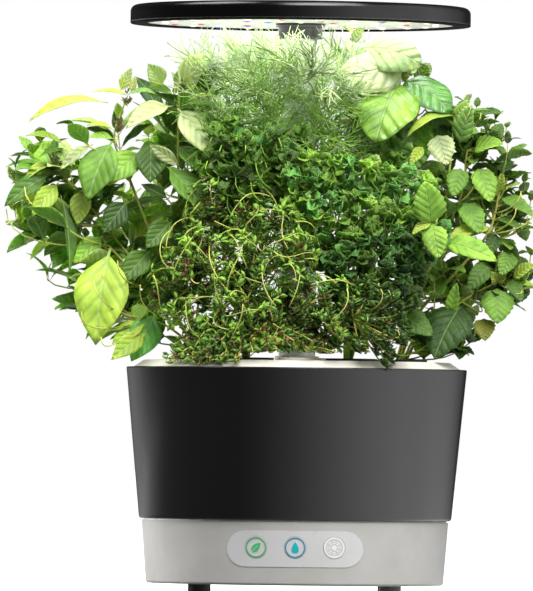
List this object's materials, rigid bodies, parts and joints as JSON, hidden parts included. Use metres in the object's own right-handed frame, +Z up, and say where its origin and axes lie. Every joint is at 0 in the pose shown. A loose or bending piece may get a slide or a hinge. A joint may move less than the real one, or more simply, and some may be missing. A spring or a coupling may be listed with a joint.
{
  "type": "countertop hydroponic garden",
  "caption": "Round countertop hydroponic garden: black water bowl on a grey control base, herb pods in full leaf, and a disc grow lamp on a telescoping centre post.",
  "frame": {"origin": "on the surface the garden stands on, under the middle of the post", "axes": "+Z up along the post, -Y towards the front with the keys, +X to the right seen from the front"},
  "size_m": [0.408, 0.276, 0.449],
  "materials": {
    "base_grey": "satin",
    "base_floor": "matte",
    "seal_white": "satin",
    "screw_steel": "satin",
    "foot_rubber": "satin",
    "panel_pale": "satin",
    "key_pale": "satin",
    "switch_black": "matte",
    "board_green": "satin",
    "wire_black": "satin",
    "inlet_black": "satin",
    "bowl_black": "satin",
    "pump_dark": "satin",
    "rotor_white": "satin",
    "tube_clear": "gloss",
    "float_orange": "satin",
    "deck_cream": "satin",
    "basket_black": "satin",
    "sponge_brown": "matte",
    "thai_basil_leaf": "satin",
    "dill_leaf": "matte",
    "genovese_leaf": "satin",
    "mint_leaf": "satin",
    "parsley_leaf": "satin",
    "thyme_leaf": "matte",
    "post_silver": "satin",
    "bush_black": "satin",
    "hub_black": "satin",
    "hood_black": "satin",
    "light_panel": "satin",
    "led_white": "satin",
    "led_red": "satin",
    "led_blue": "satin",
    "spreader_metal": "satin"
  },
  "bodies": {
    "garden": {"base_plate": "base_floor", "base_shell": "base_grey", "post_socket": "base_floor", "base_gasket": "seal_white", "base_screws": "screw_steel", "foot_1": "foot_rubber", "foot_2": "foot_rubber", "foot_3": "foot_rubber", "foot_4": "foot_rubber", "control_overlay": "panel_pale", "tact_switches": "switch_black", "control_board": "board_green", "base_wiring": "wire_black", "dc_jack": "inlet_black", "bowl": "bowl_black", "dry_column": "bowl_black", "strainer": "pump_dark", "pump_housing": "pump_dark", "riser_tube": "tube_clear", "float_guide": "rotor_white", "grow_deck": "deck_cream", "basket_1": "basket_black", "basket_2": "basket_black", "basket_3": "basket_black", "basket_4": "basket_black", "basket_5": "basket_black", "basket_6": "basket_black", "sponge_1": "sponge_brown", "sponge_2": "sponge_brown", "sponge_3": "sponge_brown", "sponge_4": "sponge_brown", "sponge_5": "sponge_brown", "sponge_6": "sponge_brown", "thai_basil": "thai_basil_leaf", "dill": "dill_leaf", "genovese_basil": "genovese_leaf", "mint": "mint_leaf", "parsley": "parsley_leaf", "thyme": "thyme_leaf", "post_sleeve": "post_silver", "post_bush": "bush_black", "lamp_lead": "wire_black"},
    "lamp": {"post_tube": "post_silver", "lamp_hub": "hub_black", "hood_shell": "hood_black", "hood_bezel": "hood_black", "hood_screws": "switch_black", "led_board": "light_panel", "leds_white": "led_white", "leds_red": "led_red", "leds_blue": "led_blue", "heat_spreader": "spreader_metal", "lamp_driver": "board_green"},
    "key_feed": {"key_feed": "key_pale"},
    "key_water": {"key_water": "key_pale"},
    "key_light": {"key_light": "key_pale"},
    "fill_cover": {"fill_cover": "deck_cream"},
    "float": {"float": "float_orange"},
    "pump_rotor": {"pump_rotor": "rotor_white"}
  },
  "joints": [
    {"name": "lamp_slide", "type": "slide", "parent": "garden", "child": "lamp", "axis": [0, 0, 1], "range_m": [0, 0.048], "deforming": ["lamp_lead"]},
    {"name": "key_feed_press", "type": "slide", "parent": "garden", "child": "key_feed", "axis": [0, 1, 0], "range_m": [0, 0.0005], "stiffness_N_per_m": 800, "springref_m": -0.0005},
    {"name": "key_water_press", "type": "slide", "parent": "garden", "child": "key_water", "axis": [0, 1, 0], "range_m": [0, 0.0005], "stiffness_N_per_m": 800, "springref_m": -0.0005},
    {"name": "key_light_press", "type": "slide", "parent": "garden", "child": "key_light", "axis": [0, 1, 0], "range_m": [0, 0.0005], "stiffness_N_per_m": 800, "springref_m": -0.0005},
    {"name": "fill_cover_swivel", "type": "hinge", "parent": "garden", "child": "fill_cover", "pos_m": [0.0172, -0.097, 0.178], "axis": [0, 0, 1], "range_deg": [0, 110]},
    {"name": "float_slide", "type": "slide", "parent": "garden", "child": "float", "axis": [0, 0, 1], "range_m": [0, 0.055]},
    {"name": "pump_spin", "type": "hinge", "parent": "garden", "child": "pump_rotor", "pos_m": [0, 0.086, 0.07], "axis": [0, 0, 1], "continuous": true}
  ]
}
